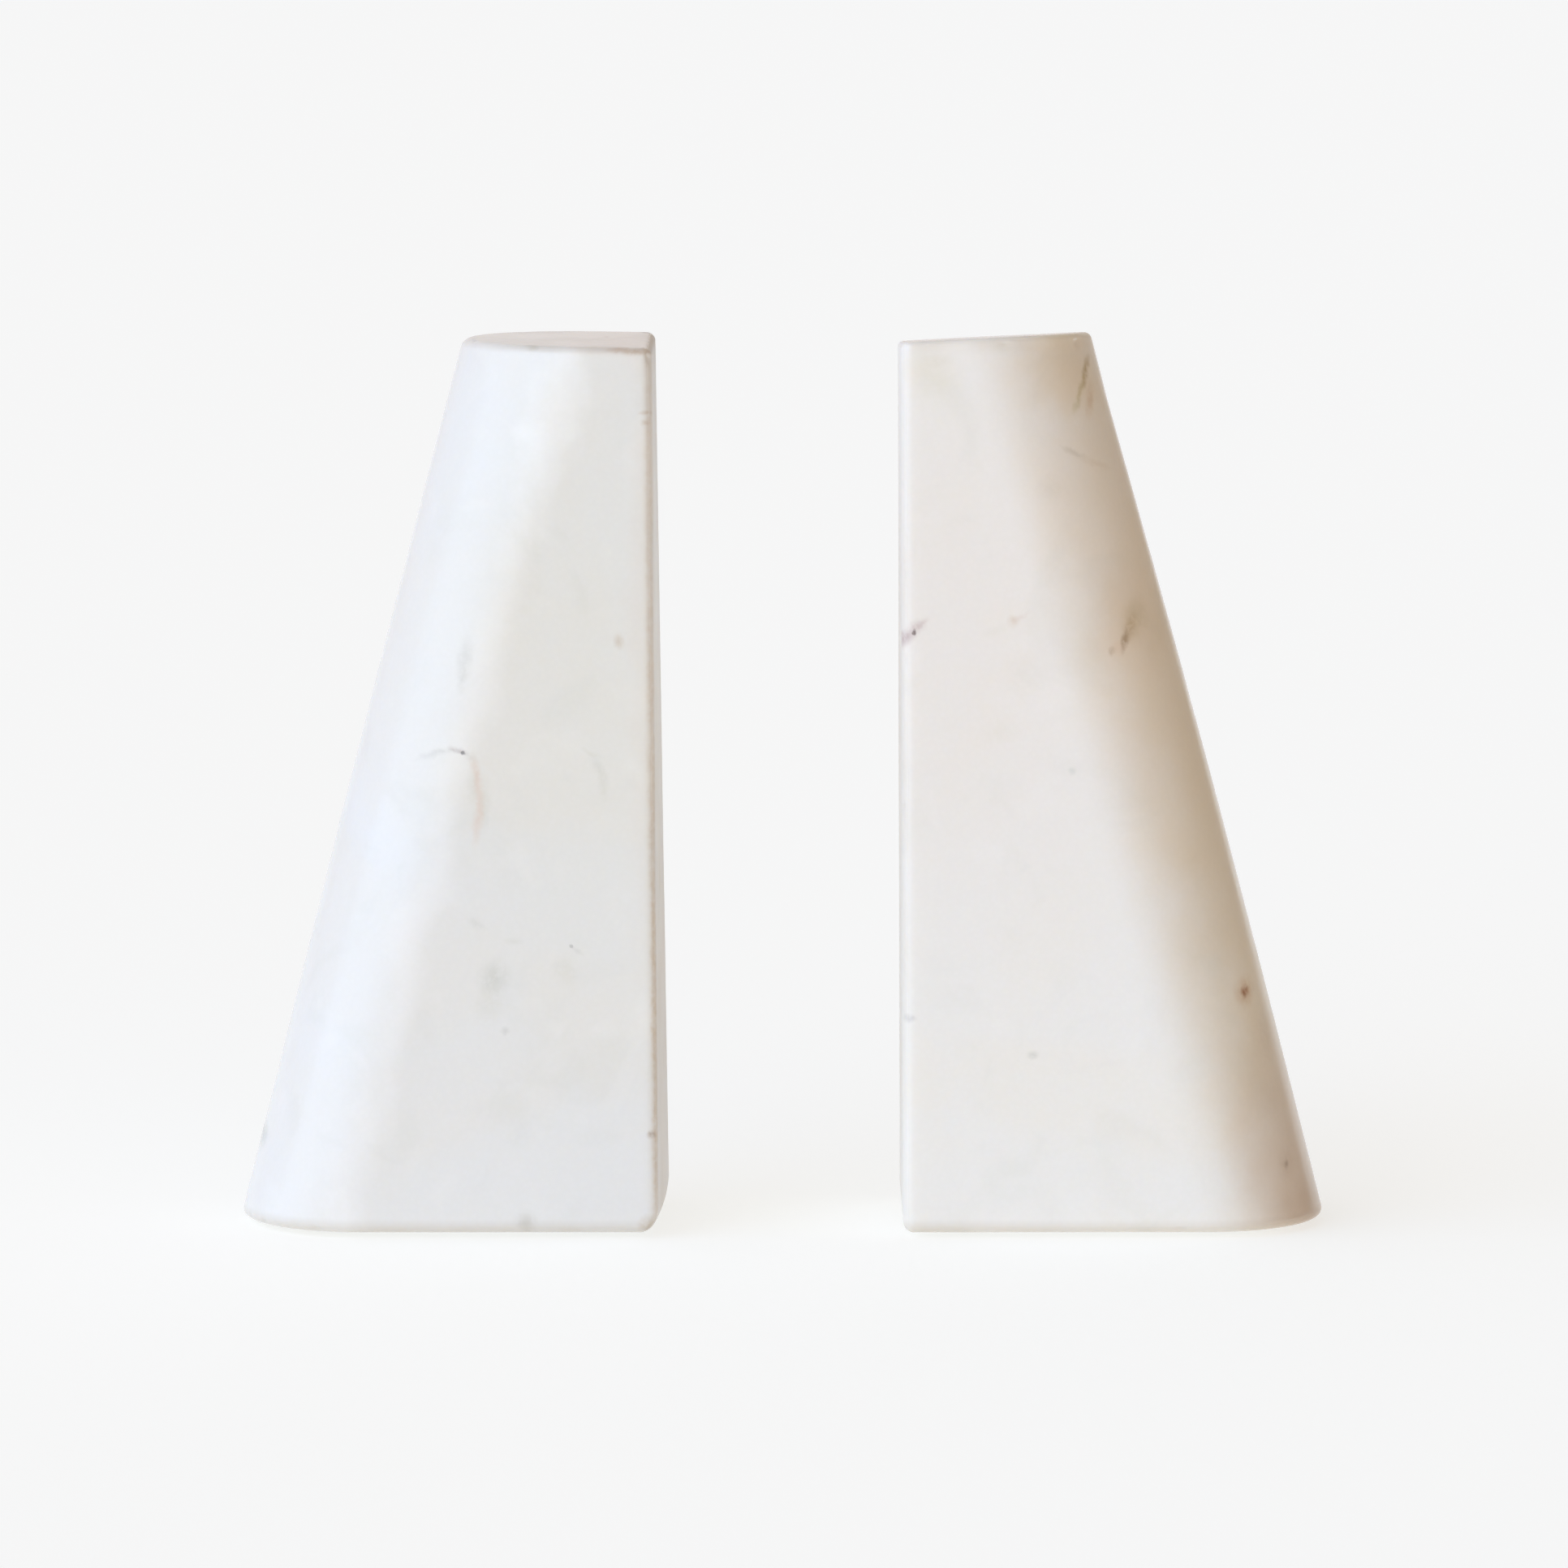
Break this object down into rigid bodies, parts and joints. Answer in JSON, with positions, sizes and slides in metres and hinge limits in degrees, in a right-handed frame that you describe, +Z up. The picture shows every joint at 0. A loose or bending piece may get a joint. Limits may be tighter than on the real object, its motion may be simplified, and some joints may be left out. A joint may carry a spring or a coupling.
{
  "type": "book ends",
  "caption": "Pair of solid white marble book ends, upright flat book faces, flat front and back, half-round outer ends slanting in to a narrow flat top, thin rubber feet underneath.",
  "frame": {"origin": "on the resting plane, midway between the two book faces and between the front and back faces", "axes": "+X along the shelf towards the right book end, +Y from the front face to the back face, +Z up"},
  "size_m": [0.2192, 0.0508, 0.1778],
  "materials": {
    "marble": "polished white marble with faint warm and grey clouds and a few small brown flecks",
    "foot": "milky satin polyurethane rubber"
  },
  "bodies": {
    "left_bookend": {"left_marble_block": "marble", "left_foot_front_inner": "foot", "left_foot_front_outer": "foot", "left_foot_back_inner": "foot", "left_foot_back_outer": "foot"},
    "right_bookend": {"right_marble_block": "marble", "right_foot_front_inner": "foot", "right_foot_front_outer": "foot", "right_foot_back_inner": "foot", "right_foot_back_outer": "foot"}
  },
  "joints": [
    {"name": "bookend_spacing", "type": "slide", "parent": "left_bookend", "child": "right_bookend", "axis": [1, 0, 0], "range_m": [-0.046, 0.042]}
  ]
}
